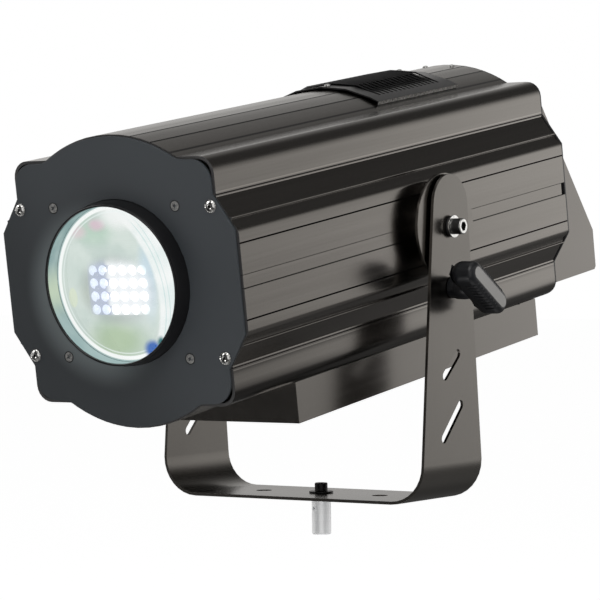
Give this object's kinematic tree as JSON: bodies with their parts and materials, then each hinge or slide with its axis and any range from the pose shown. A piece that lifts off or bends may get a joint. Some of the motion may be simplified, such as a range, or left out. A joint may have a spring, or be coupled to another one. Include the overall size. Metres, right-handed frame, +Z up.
{
  "type": "followspot",
  "caption": "Yoke-mounted LED followspot: extruded housing with a tilt brake, zoom light engine on rods, vent cover, driver tray and rear control console.",
  "frame": {"origin": "centre of the underside of the yoke's base, where the spigot seats", "axes": "+Z up along the spigot; the beam leaves along -Y; +X is the right side seen along +Y; at rest the head is pitched 8.5 degrees nose down"},
  "size_m": [0.3946, 0.7247, 0.4767],
  "materials": {
    "housing": "satin grey-brown anodised",
    "front_sheet": "matte dark bluish grey paint",
    "tray_sheet": "satin grey-brown paint",
    "black_sheet": "black satin paint",
    "yoke_steel": "satin grey-brown paint",
    "zinc": "bright zinc plate",
    "black_steel": "black oxide",
    "spigot_steel": "bright turned steel",
    "plain_aluminium": "mill finish",
    "black_aluminium": "black anodised",
    "lens_glass": "coated polished glass",
    "led": "white board with clear emitters",
    "black_plastic": "black satin plastic",
    "motor": "black painted motor",
    "grey_insert": "light grey, bare",
    "button_rubber": "soft black",
    "board": "green solder mask",
    "display": "smoked window"
  },
  "bodies": {
    "stand": {"yoke": "yoke_steel", "spigot": "spigot_steel", "spigot_screw": "black_steel", "spigot_washer": "black_steel", "pivot_bushing_right": "black_plastic", "pivot_bushing_left": "black_plastic", "pivot_washer_right": "zinc", "pivot_washer_left": "zinc", "brake_plate_right": "black_sheet", "brake_plate_left": "black_sheet"},
    "brake_knob_right": {"brake_knob_right": "black_plastic", "knob_insert_right": "grey_insert"},
    "brake_knob_left": {"brake_knob_left": "black_plastic", "knob_insert_left": "grey_insert"},
    "head": {"upper_extrusion": "housing", "lower_extrusion": "housing", "side_extrusion_right": "housing", "side_extrusion_left": "housing", "track_strip_right": "housing", "track_strip_left": "housing", "front_plate": "front_sheet", "rear_plate": "black_sheet", "inner_bulkhead": "plain_aluminium", "vent_cover": "black_sheet", "driver_tray": "tray_sheet", "driver_board": "board", "friction_disc_right": "housing", "friction_disc_left": "housing", "pivot_bolt_right": "zinc", "pivot_bolt_left": "zinc", "pivot_nut_right": "zinc", "pivot_nut_left": "zinc", "lens_barrel": "black_aluminium", "front_lens": "lens_glass", "lens_rim": "zinc", "guide_rod_right": "zinc", "guide_rod_left": "zinc", "zoom_motor": "motor", "console_housing": "housing", "control_board": "board", "display_window": "display", "steering_handle": "black_plastic", "mains_inlet": "black_plastic", "switch_bezel": "black_plastic", "data_in": "black_plastic", "data_out": "black_plastic"},
    "light_engine": {"engine_carriage": "plain_aluminium", "led_board": "led", "heatsink": "plain_aluminium", "fan_frame": "black_plastic"},
    "fan_rotor": {"fan_rotor": "black_plastic"},
    "zoom_screw": {"zoom_screw": "zinc"},
    "button_1": {"button_1": "button_rubber"},
    "button_2": {"button_2": "button_rubber"},
    "button_3": {"button_3": "button_rubber"},
    "button_4": {"button_4": "button_rubber"},
    "control_dial_1": {"control_dial_1": "black_plastic"},
    "control_dial_2": {"control_dial_2": "black_plastic"},
    "control_dial_3": {"control_dial_3": "black_plastic"},
    "mains_rocker": {"mains_rocker": "black_plastic"}
  },
  "joints": [
    {"name": "head_tilt", "type": "hinge", "parent": "stand", "child": "head", "pos_m": [0, 0, 0.266], "axis": [1, 0, 0], "range_deg": [-48, 34]},
    {"name": "brake_knob_right_turn", "type": "hinge", "parent": "stand", "child": "brake_knob_right", "pos_m": [0.17, 0, 0.207], "axis": [1, 0, 0], "range_deg": [-90, 90]},
    {"name": "brake_knob_left_turn", "type": "hinge", "parent": "stand", "child": "brake_knob_left", "pos_m": [-0.17, 0, 0.207], "axis": [1, 0, 0], "range_deg": [-90, 90]},
    {"name": "engine_zoom", "type": "slide", "parent": "head", "child": "light_engine", "axis": [0, 0.989, 0.1478], "range_m": [0, 0.125]},
    {"name": "zoom_screw_spin", "type": "hinge", "parent": "head", "child": "zoom_screw", "pos_m": [0, 0.01153, 0.18886], "axis": [0, 0.989, 0.1478], "range_deg": [0, 5625.2]},
    {"name": "fan_spin", "type": "hinge", "parent": "light_engine", "child": "fan_rotor", "pos_m": [0, -0.24725, 0.22905], "axis": [0, 0.989, 0.1478], "continuous": true},
    {"name": "button_1_press", "type": "slide", "parent": "head", "child": "button_1", "axis": [0, -0.764, -0.6453], "range_m": [0, 0.0012], "stiffness_N_per_m": 400, "springref_m": -0.0005},
    {"name": "button_2_press", "type": "slide", "parent": "head", "child": "button_2", "axis": [0, -0.764, -0.6453], "range_m": [0, 0.0012], "stiffness_N_per_m": 400, "springref_m": -0.0005},
    {"name": "button_3_press", "type": "slide", "parent": "head", "child": "button_3", "axis": [0, -0.764, -0.6453], "range_m": [0, 0.0012], "stiffness_N_per_m": 400, "springref_m": -0.0005},
    {"name": "button_4_press", "type": "slide", "parent": "head", "child": "button_4", "axis": [0, -0.764, -0.6453], "range_m": [0, 0.0012], "stiffness_N_per_m": 400, "springref_m": -0.0005},
    {"name": "control_dial_1_turn", "type": "hinge", "parent": "head", "child": "control_dial_1", "pos_m": [0.058, 0.33714, 0.30237], "axis": [0, 0.764, 0.6453], "range_deg": [-135, 135]},
    {"name": "control_dial_2_turn", "type": "hinge", "parent": "head", "child": "control_dial_2", "pos_m": [0, 0.33714, 0.30237], "axis": [0, 0.764, 0.6453], "range_deg": [-135, 135]},
    {"name": "control_dial_3_turn", "type": "hinge", "parent": "head", "child": "control_dial_3", "pos_m": [-0.058, 0.33714, 0.30237], "axis": [0, 0.764, 0.6453], "range_deg": [-135, 135]},
    {"name": "mains_rocker_tip", "type": "hinge", "parent": "head", "child": "mains_rocker", "pos_m": [0.03, 0.36468, 0.24113], "axis": [1, 0, 0], "range_deg": [-16, 0]}
  ],
  "couplings": [
    {"joint": "zoom_screw_spin", "follows": "engine_zoom", "rad_per_m": 785.4}
  ]
}
